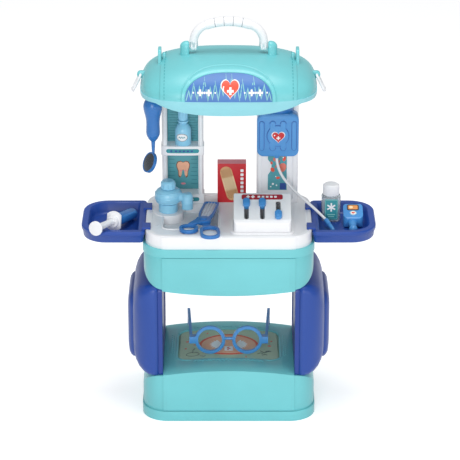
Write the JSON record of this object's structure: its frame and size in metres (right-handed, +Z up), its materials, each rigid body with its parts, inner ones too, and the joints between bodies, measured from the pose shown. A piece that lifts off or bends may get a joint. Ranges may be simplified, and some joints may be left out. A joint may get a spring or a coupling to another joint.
{
  "type": "toy doctor case",
  "caption": "Toy doctor case opened out as a standing play table with hollow legs, hang-on trays, two columns, a domed canopy with a folding handle, and its play tools.",
  "frame": {"origin": "middle of the bottom face of the base", "axes": "+X to the right seen from the front, +Y to the back, +Z up"},
  "size_m": [0.399, 0.1728, 0.556],
  "materials": {
    "turquoise": "satin",
    "pale_turquoise": "satin",
    "royal_blue": "satin",
    "mid_blue": "satin",
    "light_blue": "satin",
    "white_plastic": "satin",
    "pale_grey_plastic": "satin",
    "printed_card": "semi-gloss print",
    "teal_label": "semi-gloss print",
    "red_print": "semi-gloss print",
    "orange_print": "semi-gloss print",
    "dark_track": "satin",
    "silver_insert": "satin",
    "mirror": "polished"
  },
  "bodies": {
    "stand": {"base_shell": "turquoise", "base_picture": "printed_card", "left_leg_shell": "royal_blue", "left_leg_cover": "royal_blue", "right_leg_shell": "royal_blue", "right_leg_cover": "royal_blue", "tub_shell": "turquoise", "table_top": "white_plastic", "left_column": "white_plastic", "upper_picture": "printed_card", "lower_picture": "printed_card", "upper_shelf_label": "teal_label", "lower_shelf_label": "teal_label", "right_column": "white_plastic", "right_picture": "printed_card", "console_housing": "white_plastic", "console_label": "red_print", "slider_track": "dark_track", "faucet_foot": "light_blue", "soap_bottle": "light_blue", "plaster_box": "red_print", "wall_box": "mid_blue", "wall_box_heart": "red_print", "box_hanger": "royal_blue", "tube": "white_plastic", "scissor_lower": "mid_blue", "glasses_front": "mid_blue"},
    "canopy": {"canopy_dome": "turquoise", "canopy_rim": "pale_turquoise", "canopy_sign": "printed_card", "sign_heart": "red_print"},
    "carry_handle": {"handle": "white_plastic", "handle_grip": "white_plastic"},
    "ring_left": {"left_ring": "white_plastic"},
    "ring_right": {"right_ring": "white_plastic"},
    "tray_left": {"left_tray": "royal_blue", "syringe_barrel": "mid_blue", "syringe_collar": "white_plastic"},
    "plunger": {"syringe_plunger": "white_plastic"},
    "tray_right": {"right_tray": "royal_blue", "pill_bottle": "pale_grey_plastic", "pill_label": "teal_label", "thermometer": "mid_blue", "thermometer_tip": "mid_blue", "thermometer_screen": "orange_print", "nozzle": "mid_blue"},
    "bottle_cap": {"pill_cap": "white_plastic"},
    "slider_a": {"left_slider": "mid_blue"},
    "slider_b": {"middle_slider": "mid_blue"},
    "slider_c": {"right_slider": "mid_blue"},
    "spout": {"faucet_head": "light_blue"},
    "tap_knob": {"faucet_knob": "light_blue"},
    "soap_top": {"soap_cap": "light_blue"},
    "hanging_tool": {"mirror_tool": "mid_blue", "mirror_glass": "mirror"},
    "scissor_half": {"scissor_upper": "mid_blue", "scissor_insert": "silver_insert"},
    "temple_left": {"left_temple": "mid_blue"},
    "temple_right": {"right_temple": "mid_blue"}
  },
  "joints": [
    {"name": "canopy_lift", "type": "slide", "parent": "stand", "child": "canopy", "axis": [0, 0, 1], "range_m": [0, 0.06]},
    {"name": "handle_fold", "type": "hinge", "parent": "canopy", "child": "carry_handle", "pos_m": [0, 0, 0.5151], "axis": [1, 0, 0], "range_deg": [-88, 88]},
    {"name": "left_ring_swing", "type": "hinge", "parent": "canopy", "child": "ring_left", "pos_m": [-0.1176, 0, 0.4759], "axis": [0, 1, 0], "range_deg": [-8, 100]},
    {"name": "right_ring_swing", "type": "hinge", "parent": "canopy", "child": "ring_right", "pos_m": [0.1176, 0, 0.4759], "axis": [0, -1, 0], "range_deg": [-8, 100]},
    {"name": "left_tray_lift", "type": "slide", "parent": "stand", "child": "tray_left", "axis": [0, 0, 1], "range_m": [0, 0.03]},
    {"name": "right_tray_lift", "type": "slide", "parent": "stand", "child": "tray_right", "axis": [0, 0, 1], "range_m": [0, 0.03], "deforming": ["tube"]},
    {"name": "left_slider_slide", "type": "slide", "parent": "stand", "child": "slider_a", "axis": [0, 0.9063, 0.4226], "range_m": [-0.022, 0]},
    {"name": "middle_slider_slide", "type": "slide", "parent": "stand", "child": "slider_b", "axis": [0, 0.9063, 0.4226], "range_m": [-0.022, 0]},
    {"name": "right_slider_slide", "type": "slide", "parent": "stand", "child": "slider_c", "axis": [0, 0.9063, 0.4226], "range_m": [0, 0.022]},
    {"name": "spout_turn", "type": "hinge", "parent": "stand", "child": "spout", "pos_m": [-0.0827, 0.014, 0.2858], "axis": [0, 0, 1], "range_deg": [-40, 60]},
    {"name": "tap_turn", "type": "hinge", "parent": "stand", "child": "tap_knob", "pos_m": [-0.0827, 0.014, 0.3071], "axis": [0, 0, 1], "range_deg": [-180, 180]},
    {"name": "soap_cap_turn", "type": "hinge", "parent": "stand", "child": "soap_top", "pos_m": [-0.0625, 0.0528, 0.3925], "axis": [0, 0, 1], "range_deg": [-180, 180]},
    {"name": "pill_cap_lift", "type": "slide", "parent": "tray_right", "child": "bottle_cap", "axis": [0, 0, 1], "range_m": [0, 0.02]},
    {"name": "plunger_slide", "type": "slide", "parent": "tray_left", "child": "plunger", "axis": [-0.4155, -0.8941, 0.1671], "range_m": [-0.003, 0.012]},
    {"name": "tool_swing", "type": "hinge", "parent": "canopy", "child": "hanging_tool", "pos_m": [-0.102, 0.004, 0.452], "axis": [0, 1, 0], "range_deg": [-8, 8]},
    {"name": "scissor_open", "type": "hinge", "parent": "stand", "child": "scissor_half", "pos_m": [-0.034, -0.0305, 0.277], "axis": [0, 0, 1], "range_deg": [-25, 0]},
    {"name": "left_temple_fold", "type": "hinge", "parent": "stand", "child": "temple_left", "pos_m": [-0.052, -0.017, 0.09524], "axis": [0, 0, 1], "range_deg": [-80, 0]},
    {"name": "right_temple_fold", "type": "hinge", "parent": "stand", "child": "temple_right", "pos_m": [0.052, -0.017, 0.09524], "axis": [0, 0, 1], "range_deg": [0, 80]}
  ]
}
